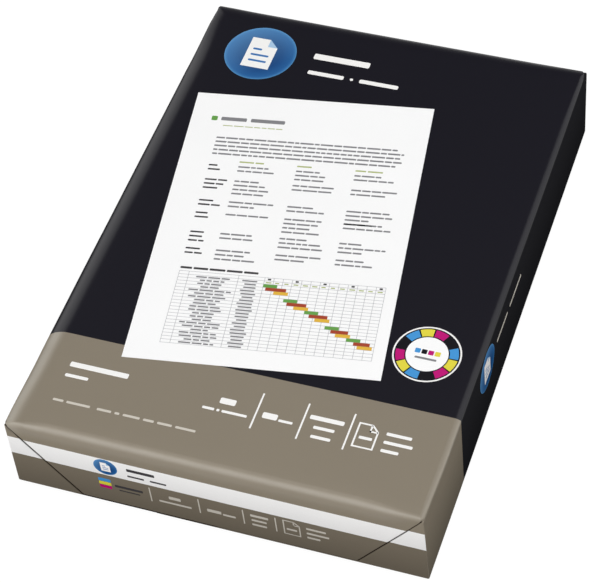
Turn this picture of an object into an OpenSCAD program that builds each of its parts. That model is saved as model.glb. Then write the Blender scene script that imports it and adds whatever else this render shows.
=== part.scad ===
// A wrapped ream of office paper, lying on its back.
// The stack and its wrapper are one sealed solid. +Z is up, +X runs across the sheets and +Y along
// them, away from the decorated end. The origin is the middle of the face that it rests on.

/* [Paper stack] */
// Width of one sheet
sheet_w = 210; // [148:1:300]
// Length of one sheet
sheet_l = 297; // [210:1:420]
// Sheets in the ream
sheet_count = 500; // [300:50:600]
// Thickness of one sheet
sheet_t = 0.098; // [0.08:0.001:0.13]

/* [Wrapper] */
// Thickness of the wrapping paper, with the air under it
wrap_t = 0.5; // [0.2:0.1:1]
// Radius where the wrapper rolls over the left long edge of the top, where it is slackest
left_roll_r = 8; // [2:0.5:12]
// Radius where it rolls over the right long edge
right_roll_r = 5; // [2:0.5:12]
// Radius where it rolls over the two ends of the top
end_roll_r = 8; // [2:0.5:12]
// Radius of the creased edges round the underside
base_r = 1; // [0.5:0.1:2]
// Radius of the four upright creases
upright_r = 1; // [0.5:0.1:2]

/* [End folds] */
// How far the slanted edge of an end flap has come in by the underside
flap_inset = 36.5; // [20:0.5:60]
// Step from an end flap down to the corner tucks beside it
flap_step = 0.4; // [0.2:0.1:0.5]
// Height above the underside at which an end flap's free edge is glued down
flap_tail = 1.5; // [1:0.5:8]

/* [Lap seam] */
// Distance of the seam's edge from the middle of the underside
seam_offset = 32; // [10:1:60]
// Step from the outer lap to the inner one
seam_step = 0.3; // [0.1:0.1:0.6]

/* [Print] */
// Thickness of one printed film
ink_t = 0.05; // [0.02:0.01:0.1]
// Length of the pale band, from the decorated end
band_l = 58; // [30:1:90]
// Height of the white stripe across the decorated end
stripe_h = 13.3; // [8:0.1:18]
// Drop from the top to the stripe's upper edge
stripe_drop = 12.7; // [9:0.1:16]
// Gap between the printed page's middle and the left long edge
page_left = 92; // [84:1:96]
// Gap between the printed page's middle and the decorated end
page_front = 149.3; // [140:0.1:160]
// Width of the printed page
page_w = 127; // [80:1:134]
// Length of the printed page
page_l = 179.5; // [120:0.5:186]
// Turn of the printed page, anticlockwise from above
page_turn = 8.5; // [0:0.1:12]
// Diameter of the round mark in the far left corner
disc_d = 39.5; // [20:0.5:46]
// Gap between that mark's middle and the left long edge
disc_left = 38; // [32:1:60]
// Gap between that mark's middle and the far end
disc_back = 33; // [28:1:36]
// Diameter of the round seal beside the page
seal_d = 33.5; // [20:0.5:36]
// Gap between the seal's middle and the right long edge
seal_right = 26; // [24:1:30]
// Gap between the seal's middle and the decorated end
seal_front = 91; // [80:1:100]
// Width of the seal's rim
seal_rim = 5; // [2:0.5:8]
// Length of the divider lines on the band
rule_l = 21; // [10:0.5:24]
// Width of the divider lines
rule_w = 0.8; // [0.4:0.1:1.5]
// Gap between the divider lines' middle and the decorated end
rule_front = 38; // [35:1:44]
// Gap between the first divider and the right long edge
rule_right = 94; // [70:1:110]
// Spacing of the divider lines
rule_pitch = 22.9; // [12:0.1:30]
// Diameter of the round mark on the right side
side_disc_d = 24.5; // [8:0.5:25]
// Gap between that mark's middle and the decorated end
side_disc_front = 102; // [80:1:140]
// Drop from the top to that mark's middle
side_disc_drop = 16.5; // [14:0.5:17]

/* [Hidden] */
$fn = 48;

rule_count = 3;
over = 5; // how far a cutting shape runs past what it cuts
sink = 1; // how deep a printed film's solid reaches into the pack

stack_h = sheet_count * sheet_t;
pack_w = sheet_w + 2 * wrap_t;
pack_l = sheet_l + 2 * wrap_t;
pack_h = stack_h + 2 * wrap_t;

// Each printed colour is a film laid over the one before it.
band_film = ink_t;
page_film = 2 * ink_t;
mark_film = 3 * ink_t;
side_disc_z = pack_h - side_disc_drop;

// What is left outside a round corner of radius r, drawn at [0, 0] with the body below and to the left.
module corner_waste(r) {
    difference() {
        translate([-r, -r]) square(r + over);
        translate([-r, -r]) circle(r);
    }
}

// Section of a wrapped block: slack rolls of their own radius on the top, creases below.
module section(w, h, left_r, right_r) {
    difference() {
        translate([-w / 2, 0]) square([w, h]);
        for (side = [0, 1]) mirror([side, 0]) {
            translate([w / 2, h]) corner_waste(side == 0 ? right_r : left_r);
            translate([w / 2, 0]) mirror([0, 1]) corner_waste(base_r);
        }
    }
}

// Outline from above, with the four upright edges.
module plan(w, l) {
    difference() {
        square([w, l], center = true);
        for (side = [0, 1], end = [0, 1])
            mirror([side, 0]) mirror([0, end]) translate([w / 2, l / 2]) corner_waste(upright_r);
    }
}

// The block that the wrapper makes round the stack, grown by a film on all faces but the underside
// and short of its full length by a tuck at each end.
module block(film, tuck) {
    w = pack_w + 2 * film;
    l = pack_l + 2 * (film - tuck);
    h = pack_h + film;
    intersection() {
        rotate([90, 0, 0])
            linear_extrude(l + 2 * over, center = true) section(w, h, left_roll_r, right_roll_r);
        rotate([90, 0, 90])
            linear_extrude(w + 2 * over, center = true) section(l, h, end_roll_r, end_roll_r);
        linear_extrude(h) plan(w, l);
    }
}

// An end flap from the front: as wide as the pack at the top, drawn in by its slanted folds below.
module flap_outline() {
    polygon([
        [-pack_w / 2, pack_h],
        [-pack_w / 2, pack_h + over],
        [pack_w / 2, pack_h + over],
        [pack_w / 2, pack_h],
        [pack_w / 2 - flap_inset * (1 - flap_tail / pack_h), flap_tail],
        [flap_inset * (1 - flap_tail / pack_h) - pack_w / 2, flap_tail],
    ]);
}

// The glued flaps at both ends, with the roll that carries each over from the top.
module flaps(film) {
    intersection() {
        block(film, 0);
        rotate([90, 0, 0]) linear_extrude(pack_l + 2 * over, center = true) flap_outline();
    }
}

// The underside left of the seam is one layer higher than the outer lap.
module seam_gap() {
    translate([-pack_w / 2 - over, -pack_l / 2 - over, -over])
        cube([pack_w / 2 + over - seam_offset, pack_l + 2 * over, over + seam_step]);
}

// The whole wrapped pack with its folds, under any number of printed films.
module folded_pack(film) {
    difference() {
        union() {
            block(film, flap_step);
            flaps(film);
        }
        seam_gap();
    }
}

module dark_field() {
    color([0.12, 0.12, 0.14]) folded_pack(0);
}

module pale_band() {
    color([0.54, 0.51, 0.45])
        intersection() {
            folded_pack(band_film);
            translate([-pack_w / 2 - over, -pack_l / 2 - over, 0])
                cube([pack_w + 2 * over, band_l + over, pack_h + over]);
        }
}

module white_stripe() {
    color([0.93, 0.93, 0.94])
        intersection() {
            folded_pack(page_film);
            translate([-pack_w / 2, -pack_l / 2 - over, pack_h - stripe_drop - stripe_h])
                cube([pack_w, over + wrap_t + flap_step + sink, stripe_h]);
        }
}

// A flat film on the top, raised over those below it.
module top_film(film) {
    translate([0, 0, pack_h - sink]) linear_extrude(sink + film) children();
}

module printed_page() {
    color("white")
        top_film(page_film)
            translate([page_left - pack_w / 2, page_front - pack_l / 2])
                rotate(page_turn) square([page_w, page_l], center = true);
}

module corner_disc() {
    color([0.16, 0.38, 0.62])
        top_film(mark_film)
            translate([disc_left - pack_w / 2, pack_l / 2 - disc_back]) circle(d = disc_d);
}

module seal() {
    place = [pack_w / 2 - seal_right, seal_front - pack_l / 2];
    color("white")
        top_film(page_film) translate(place) circle(d = seal_d);
    color([0.3, 0.55, 0.5])
        top_film(mark_film) translate(place) difference() {
            circle(d = seal_d - seal_rim / 2);
            circle(d = seal_d - 2 * seal_rim);
        }
}

module band_rules() {
    color("white")
        top_film(mark_film)
            for (i = [0 : rule_count - 1])
                translate([pack_w / 2 - rule_right + i * rule_pitch, rule_front - pack_l / 2])
                    square([rule_w, rule_l], center = true);
}

module side_disc() {
    color([0.16, 0.38, 0.62])
        intersection() {
            folded_pack(mark_film);
            translate([pack_w / 2 - sink, side_disc_front - pack_l / 2, side_disc_z])
                rotate([0, 90, 0]) cylinder(d = side_disc_d, h = sink + over);
        }
}

module ream() {
    dark_field();
    pale_band();
    white_stripe();
    printed_page();
    corner_disc();
    seal();
    band_rules();
    side_disc();
}

ream();
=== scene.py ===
import math

import bmesh
import bpy
import numpy as np

from mathutils import Matrix


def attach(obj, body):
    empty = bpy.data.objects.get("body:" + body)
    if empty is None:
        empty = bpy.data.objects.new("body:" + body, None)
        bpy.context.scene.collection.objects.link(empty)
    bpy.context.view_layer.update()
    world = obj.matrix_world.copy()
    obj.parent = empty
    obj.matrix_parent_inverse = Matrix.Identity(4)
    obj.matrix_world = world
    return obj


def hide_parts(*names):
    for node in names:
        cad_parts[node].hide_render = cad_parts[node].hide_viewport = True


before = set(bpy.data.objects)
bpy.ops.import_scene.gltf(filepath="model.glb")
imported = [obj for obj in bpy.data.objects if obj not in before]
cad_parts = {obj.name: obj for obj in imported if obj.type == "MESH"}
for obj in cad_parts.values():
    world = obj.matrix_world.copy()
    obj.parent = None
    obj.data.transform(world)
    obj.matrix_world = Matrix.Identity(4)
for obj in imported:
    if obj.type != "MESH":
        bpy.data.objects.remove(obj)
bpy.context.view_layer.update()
mm = 0.001  # the dictionaries below are in millimetres
print("frame loaded:", sorted(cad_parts))

# Where the photograph was taken from, fitted to the pack's outline and folds.
photo = {
    "azimuth": 24.79,
    "elevation": 50.08,
    "roll": -7.66,
    "distance": 1145.3,
    "aimAcross": -10.18,  # what the picture's middle looks at, from the pack's origin
    "aimUp": 2.72,
    "lens": 133.43,
    "sensor": 36.0,
    "clip": (20.0, 50000.0),
}


def unit(v):
    return np.asarray(v, float) / np.linalg.norm(v)


def putInScene(name, data, axes=None, place=None):
    # a new object for a mesh, lamp or camera; axes are the unit vectors of its turn, place is where it stands
    piece = bpy.data.objects.new(name, data)
    if axes:
        matrix = np.eye(4)
        matrix[:3, :3], matrix[:3, 3] = np.transpose(axes), place
        piece.matrix_world = Matrix(matrix.tolist())
    bpy.context.scene.collection.objects.link(piece)
    return piece


def makeCamera(p):
    # back points from the pack to the camera; right and up lie in the picture, turned by the roll
    azimuth, elevation, roll = (math.radians(p[k]) for k in ("azimuth", "elevation", "roll"))
    flat = math.cos(elevation)
    back = np.array([math.sin(azimuth) * flat, -math.cos(azimuth) * flat, math.sin(elevation)])
    level = unit(np.cross([0, 0, 1], back))
    upright = np.cross(back, level)
    right = level * math.cos(roll) + upright * math.sin(roll)
    up = upright * math.cos(roll) - level * math.sin(roll)
    place = (right * p["aimAcross"] + up * p["aimUp"] + back * p["distance"]) * mm
    lensData = bpy.data.cameras.new("camera")
    lensData.sensor_width, lensData.lens = p["sensor"], p["lens"]
    lensData.clip_start, lensData.clip_end = (reach * mm for reach in p["clip"])
    bpy.context.scene.camera = putInScene("camera", lensData, (right, up, back), place)


makeCamera(photo)
print("camera placed")


def ink(red, green, blue, opacity=1.0):
    # a colour as it is seen on screen, made linear for the shader
    seen = np.array([red, green, blue]) / 255.0
    linear = np.where(seen <= 0.04045, seen / 12.92, ((seen + 0.055) / 1.055) ** 2.4)
    return (*linear.tolist(), opacity)


def newGroup(name, inputs, outputs):
    # an empty shader node group with named sockets; returns it with its input and output nodes
    group = bpy.data.node_groups.new(name, "ShaderNodeTree")
    kinds = {"color": "NodeSocketColor", "value": "NodeSocketFloat"}
    for label, kind, start in inputs:
        socket = group.interface.new_socket(label, in_out="INPUT", socket_type=kinds[kind])
        socket.default_value = start
    for label, kind in outputs:
        group.interface.new_socket(label, in_out="OUTPUT", socket_type=kinds[kind])
    return group, group.nodes.new("NodeGroupInput"), group.nodes.new("NodeGroupOutput")


def noiseNode(tree, coordinates, scale, detail, roughness=0.55):
    noise = tree.nodes.new("ShaderNodeTexNoise")
    noise.inputs["Scale"].default_value = scale
    noise.inputs["Detail"].default_value = detail
    noise.inputs["Roughness"].default_value = roughness
    tree.links.new(coordinates, noise.inputs["Vector"])
    return noise.outputs["Fac"]


def feed(tree, value, socket):
    # a plain number or colour is set on the socket, another node's output is linked to it
    if isinstance(value, (int, float, tuple)):
        socket.default_value = value
    else:
        tree.links.new(value, socket)


def mathNode(tree, operation, *values):
    node = tree.nodes.new("ShaderNodeMath")
    node.operation = operation
    for value, socket in zip(values, node.inputs):
        feed(tree, value, socket)
    return node.outputs[0]


def mixColour(tree, amount, first, second, blend="MIX"):
    node = tree.nodes.new("ShaderNodeMix")
    node.data_type = "RGBA"
    node.blend_type = blend
    for value, index in ((amount, 0), (first, 6), (second, 7)):
        feed(tree, value, node.inputs[index])
    return node.outputs[2]


def attributeNode(tree, name):
    node = tree.nodes.new("ShaderNodeAttribute")
    node.attribute_name = name
    return node.outputs["Fac"]


# Coated paper: cloudy ink, a fine fibre grain and long shallow cockles.
paperGrain = {
    "grain": (1500.0, 2),  # scale and detail of each noise
    "fibre": (420.0, 3),
    "cloud": (26.0, 4),
    "cockle": (18.0, 1),
    "speck": 0.06,  # how much the grain changes the brightness
    "dullingAndShade": 0.12,  # and the clouds the roughness
    "heights": (0.006, 0.010, 0.35),  # of the grain, the fibre and the cockles
}


def makePaperGrain(p):
    tree, given, made = newGroup(
        "paperGrain",
        [
            ("Color", "color", (1, 1, 1, 1)),
            ("Roughness", "value", 0.4),
            ("Cloud", "value", 0.05),
            ("Low", "value", 1.0),
        ],
        [("Color", "color"), ("Roughness", "value"), ("Height", "value")],
    )
    spot = tree.nodes.new("ShaderNodeTexCoord").outputs["Object"]
    grain, fibre, cloud, cockle = (noiseNode(tree, spot, *p[k]) for k in ("grain", "fibre", "cloud", "cockle"))
    cloudSwing, grainSwing = (mathNode(tree, "SUBTRACT", noise, 0.5) for noise in (cloud, grain))
    shade = mathNode(tree, "MULTIPLY_ADD", cloudSwing, given.outputs["Cloud"], 1.0)
    speck = mathNode(tree, "MULTIPLY_ADD", grainSwing, p["speck"], shade)
    # painted shade: the speckled tone times Low, which darkens the ink towards the underside
    speckAndShade = mathNode(tree, "MULTIPLY", speck, given.outputs["Low"])
    lit = tree.nodes.new("ShaderNodeCombineColor")
    for socket in lit.inputs:
        tree.links.new(speckAndShade, socket)
    colour = mixColour(tree, 1.0, given.outputs["Color"], lit.outputs[0], "MULTIPLY")
    tree.links.new(colour, made.inputs["Color"])
    dullingAndShade = mathNode(tree, "MULTIPLY_ADD", cloudSwing, p["dullingAndShade"], given.outputs["Roughness"])
    tree.links.new(dullingAndShade, made.inputs["Roughness"])
    height = 0.0
    for noise, tall in zip((grain, fibre, cockle), p["heights"]):
        height = mathNode(tree, "MULTIPLY_ADD", noise, tall, height)
    tree.links.new(height, made.inputs["Height"])
    return tree


# Varnish lies on the top and its rolls only, and the sides are matt.
varnish = {
    "onSides": (48.3, 49.2),  # heights between which it ends on the long sides and on the ends
    "onEnds": (40.5, 45.5),
    "fromCrease": 1.5,  # on the ends it also fades from here towards the left and right upright creases
    "fade": (2.0, 18.0),
    "weight": 0.52,
    "roughness": 0.28,
}
lowShade = {"from": 39.0, "to": 0.0, "darkest": 0.62}  # painted shade: the ink is darkened towards the underside


def mapNode(tree, value, source, target):
    node = tree.nodes.new("ShaderNodeMapRange")
    for socket, number in zip(list(node.inputs)[1:5], (*source, *target)):
        socket.default_value = number
    tree.links.new(value, node.inputs["Value"])
    return node.outputs["Result"]


def makeFaceMask(p, low):
    # Mask is 1 where the varnish lies, Varnish is its weight, and Low is painted shade: a factor on the ink's
    # brightness that darkens it towards the underside
    tree, _, made = newGroup("faceMask", [], [("Mask", "value"), ("Varnish", "value"), ("Low", "value")])
    laid = attributeNode(tree, "varnish")
    tree.links.new(laid, made.inputs["Mask"])
    tree.links.new(mathNode(tree, "MULTIPLY", laid, p["weight"]), made.inputs["Varnish"])
    parts = tree.nodes.new("ShaderNodeSeparateXYZ")
    tree.links.new(tree.nodes.new("ShaderNodeTexCoord").outputs["Object"], parts.inputs[0])
    # painted shade, darkest at the underside
    dullingAndShade = mapNode(tree, parts.outputs["Z"], (low["to"] * mm, low["from"] * mm), (low["darkest"], 1.0))
    tree.links.new(dullingAndShade, made.inputs["Low"])
    return tree


# Rubbed creases: the print is thinner along them, so the white paper shows through in patches; on the upright
# creases this is also a painted highlight, and the pale strip along the top's edges is painted highlight over
# rubbed print.
# Folds: the gap beside a folded edge is darkened by painted shade.
wearAndPaintedLight = {
    "patches": (160.0, 4, 1.2, 0.3),  # scale and detail of a noise, its swing and its least
    # noise for the painted highlight along the top's edges
    "evenWearAndHighlight": (60.0, 3, 0.6, 0.5),
}


def makeWearAndPaintedLight(p):
    tree, given, made = newGroup(
        "wearAndPaintedLight",
        [
            ("Color", "color", (1, 1, 1, 1)),
            ("WornAndLit", "color", (1, 1, 1, 1)),
            ("Amount", "value", 0.5),
            ("Ridge", "value", 0.1),
            ("Gap", "color", (0, 0, 0, 1)),
        ],
        [("Color", "color")],
    )
    crease, ridge, gap = (attributeNode(tree, name) for name in ("crease", "ridge", "foldGap"))
    spot = tree.nodes.new("ShaderNodeTexCoord").outputs["Object"]

    def noisyShare(mask, numbers, share):
        # the mask times a noise, times the group's own input of that name
        scale, detail, swing, least = numbers
        patchy = mathNode(tree, "MULTIPLY_ADD", noiseNode(tree, spot, scale, detail), swing, least)
        return mathNode(tree, "MULTIPLY", mathNode(tree, "MULTIPLY", mask, patchy), given.outputs[share])

    # the rubbed creases are partly, and the pale strip along the top's edges is mostly, painted highlight
    rub, pale = noisyShare(crease, p["patches"], "Amount"), noisyShare(ridge, p["evenWearAndHighlight"], "Ridge")
    amount = mathNode(tree, "MINIMUM", mathNode(tree, "ADD", rub, pale), 1.0)
    rubbedAndLit = mixColour(tree, amount, given.outputs["Color"], given.outputs["WornAndLit"])
    # the painted shade in the folds' gaps goes on last
    tree.links.new(mixColour(tree, gap, rubbedAndLit, given.outputs["Gap"]), made.inputs["Color"])
    return tree


grainGroup = makePaperGrain(paperGrain)
maskGroup = makeFaceMask(varnish, lowShade)
wearAndLightGroup = makeWearAndPaintedLight(wearAndPaintedLight)
print("finishes made")

paperLook = {
    "roughness": 0.6,
    "cloud": 0.05,
    "bump": 0.25,
    # how strongly the creases are rubbed, which on the upright ones is also a painted highlight
    "wearAndLight": 0.45,
    # colour of the painted shade in the gap beside a fold
    "gap": (40, 32, 25),
}


def groupNode(tree, group):
    node = tree.nodes.new("ShaderNodeGroup")
    node.node_tree = group
    return node


def paperMaterial(name, colour, sideColour=None, tint=None, wornAndLit=None, ridge=0.0, p=paperLook):
    # printed paper; sideColour is a lighter ink below the rolls, painted light for the dimmer sides; tint adds
    # nodes and returns their colour; the pale colour is that of rubbed creases and of the painted highlight
    # along the top's edges, and ridge is how much of it shows there
    material = bpy.data.materials.new(name)
    material.use_nodes = True
    tree = material.node_tree
    shader = tree.nodes["Principled BSDF"]
    shader.inputs["Specular IOR Level"].default_value = 0.0  # the gloss is all in the varnish
    shader.inputs["Coat Roughness"].default_value = varnish["roughness"]
    mask = groupNode(tree, maskGroup)
    tree.links.new(mask.outputs["Varnish"], shader.inputs["Coat Weight"])
    grain = groupNode(tree, grainGroup)
    grain.inputs["Roughness"].default_value = p["roughness"]
    grain.inputs["Cloud"].default_value = p["cloud"]
    # the mask's Low darkens the paper towards the underside as painted shade
    tree.links.new(mask.outputs["Low"], grain.inputs["Low"])
    colourFrom = ink(*colour)
    if tint:
        colourFrom = tint(tree)
    elif sideColour:
        # the lighter ink below the rolls is painted light for the sides, which the lamps light less
        colourFrom = mixColour(tree, mask.outputs["Mask"], ink(*sideColour), ink(*colour))
    if wornAndLit:
        # rubbed creases, partly painted highlight; painted highlight along the top's edges; painted shade in
        # the folds' gaps
        wearAndLight = groupNode(tree, wearAndLightGroup)
        wearAndLight.inputs["WornAndLit"].default_value = ink(*wornAndLit)
        wearAndLight.inputs["Amount"].default_value = p["wearAndLight"]
        wearAndLight.inputs["Ridge"].default_value = ridge
        wearAndLight.inputs["Gap"].default_value = ink(*p["gap"])
        feed(tree, colourFrom, wearAndLight.inputs["Color"])
        colourFrom = wearAndLight.outputs["Color"]
    feed(tree, colourFrom, grain.inputs["Color"])
    bump = tree.nodes.new("ShaderNodeBump")
    bump.inputs["Strength"].default_value = p["bump"]
    bump.inputs["Distance"].default_value = mm
    tree.links.new(grain.outputs["Color"], shader.inputs["Base Color"])
    tree.links.new(grain.outputs["Roughness"], shader.inputs["Roughness"])
    tree.links.new(grain.outputs["Height"], bump.inputs["Height"])
    tree.links.new(bump.outputs["Normal"], shader.inputs["Normal"])
    return material


pack = {
    "width": 211.0,
    "length": 298.0,
    "height": 50.0,
    # the top's sag at its left and right long edges: how far in it starts and how far it falls, the fall's
    # share at the near and far end, the reach's share at the far end, and the crease's radius
    "left": (11.6, 5.1, 0.5, 0.4, 0.83, 1.0),
    "right": (3.3, 0.9, 1.7, 1.0, 0.6, 0.5),
    "sideTaper": 40.0,  # length over which these shares come in
    "slack": 0.10,  # how much the sag swells and shrinks along the pack
    "near": (4.8, 7.2),  # how far in and how far down the slack rolls over the ends reach in their middle,
    "far": (10.0, 6.1),
    "nearCorners": ((2.4, 4.4), (2.3, 4.0)),  # and at the left and right corners
    "farCorners": ((9.0, 5.9), (9.0, 5.9)),
    "taper": (12.0, 31.0),  # length over which they tighten at the left and right corners
    "farTilt": 1.8,  # the far roll falls less at its left end and more at its right one
    "mitre": 14,  # crispness of the corners between two rolls
    # how far in the left and right sides lean at the top, and the right one's foot, by places along the pack
    "leanAt": [-149.0, -122.0, -95.0, 10.0, 50.0, 100.0, 127.0, 149.0],
    "leftLean": [1.5, 0.6, 0.1, 0.25, 0.6, 0.7, 1.75, 2.2],
    "rightLean": [0.9, 0.1, 0.0, 0.0, 0.0, 0.0, 0.15, 0.3],
    "rightFoot": [0.0, 0.0, 0.0, 0.25, 0.33, 0.45, 0.5, 0.55],
    "leanStrip": 4.0,  # how far in from the side the lean fades
    "sink": (0.45, 0.35),  # how far in the left side and the far end sink, at most
    "sinkStrip": (3.0, 1.0),  # distances in from their face between which the sinking comes in
    "sinkFades": (6.0, 9.0, 12.0),  # lengths over which it fades at the foot, the top and the upright creases
    "crease": 0.7,  # radius of the upright and lower edges
    "foldInset": 36.5,  # how far an end flap's slanted edge comes in by the underside
    "tail": 1.5,  # height of the flap's free edge
    "seamAt": -32.0,  # the lap on the underside
    "seamWidth": 0.12,
    "seamStep": 0.3,
    "seamRise": 3.0,  # the height up to which it is felt
    "bandEdge": -90.9,
    "stripeLow": 24.0,
    "stripeHigh": 37.3,
}

# The lattice that the wrapper is worked out on: how many rows and columns it has, or where they lie.
lattice = {
    "rollRows": 15,
    "bandRows": 9,  # from the near roll to the band's edge
    "fieldRows": 40,  # from there to the far roll
    "creaseColumns": 5,
    "sagColumns": 10,
    "topColumns": 34,
    "byFold": [0.10, 0.22, 0.34, 0.46, 0.60, 0.80, 1.05, 1.4, 2.0],  # a tuck's distances from the slanted fold,
    "between": [0.10, 0.25, 0.42, 0.60, 0.78, 0.92],  # shares of the way between,
    "byCrease": [1.0, 0.78, 0.56, 0.36, 0.18, 0.0],  # and distances from the upright crease
    "narrowTuck": 3.8,  # a tuck narrower than this has its columns squeezed,
    "closedTuck": 0.15,  # and one beside a smaller fall than this is closed
    "footLevels": [0.14, 0.28, 0.42, 0.56, 0.72, 0.9, 1.1, 1.28, 1.4, 1.5, 1.6, 1.7, 1.85, 2.05, 2.6, 3.6],
    "lowLevels": (5.5, 7),  # the lowest of them, and how many up to the stripe
    "stripeLevels": 5,
    "highLevel": 40.0,
    "wallTop": 0.95,  # the sides' highest row, as a share of the way to the top's edge
    "weld": 0.003,
    "sharpAngle": 40.0,
}

# Depth below the flap at a distance outwards from its edge: a rounded edge, a gap, then the layer under it.
# The shade is how much of the painted shade's dark colour the gap gets there.
foldShape = {
    "out": [-0.50, -0.24, -0.08, 0.12, 0.40, 0.80, 1.20],
    "depth": [0.00, 0.03, 0.12, 0.62, 0.66, 0.52, 0.40],
    "shade": [0.00, 0.00, 0.90, 1.00, 1.00, 1.00, 0.00],
    "foot": 0.5,  # height over which the depth comes in
    "gapWidth": (1.4, 0.75),  # the painted shade reaches further out by the left fold than by the right one,
    "gapNarrows": (46.0, 36.0, 0.62),  # and above these heights both narrow to this share
    "gapFace": (2.6, 1.8),  # distances in from the end's face, and heights, between which the shade comes in
    "gapFoot": (0.0, 0.6),
    "gapTop": (47.9, 46.9),  # and on the right only
}

# Rubbed print and painted highlight: the width of each place, and its share or the height over which it comes
# in.
wearAndHighlightPlaces = {
    # the upright creases' rubbed print doubles as a painted highlight along them
    "upright": (0.6, 2.0),
    "lower": (0.8, 0.6),
    "ridgeFrom": 1.1,  # the painted highlight over rubbed print along the top's edges is full down to here
    "ridgeWidth": 1.5,
    "leftEdge": (12.0, 4.0),  # between these distances from the left side that painted highlight gets wider and stronger
    "leftMore": (2.2, 0.6),
}


def ease(t):
    t = np.clip(t, 0, 1)
    return t * t * (3 - 2 * t)


def fade(value, start, stop):
    # 0 at start and 1 at stop, eased between them
    return ease((value - start) / (stop - start))


def waves(a, b, phase):
    # a smooth field between 0 and 1: the mean of four long sine waves that run across each other
    sines = (
        np.sin(a / 31 + 1.3 * phase)
        + np.sin(b / 23 + 2.1 * phase + a / 67)
        + np.sin(a / 13 - b / 19 + 0.7 * phase)
        + np.sin(a / 53 + b / 11 + 3.3 * phase)
    )
    return 0.5 + sines / 8


def stack(*parts):
    return np.stack(np.broadcast_arrays(*parts), axis=-1)


def foldOut(x, level, p):
    # distance outwards from a flap's slanted edge, or down from its free edge, at this height
    foldLine = p["width"] / 2 - p["foldInset"] * (1 - level / p["height"])
    slope = math.cos(math.atan(p["foldInset"] / p["height"]))
    return np.maximum((np.abs(x) - foldLine) * slope, p["tail"] - level)


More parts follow.
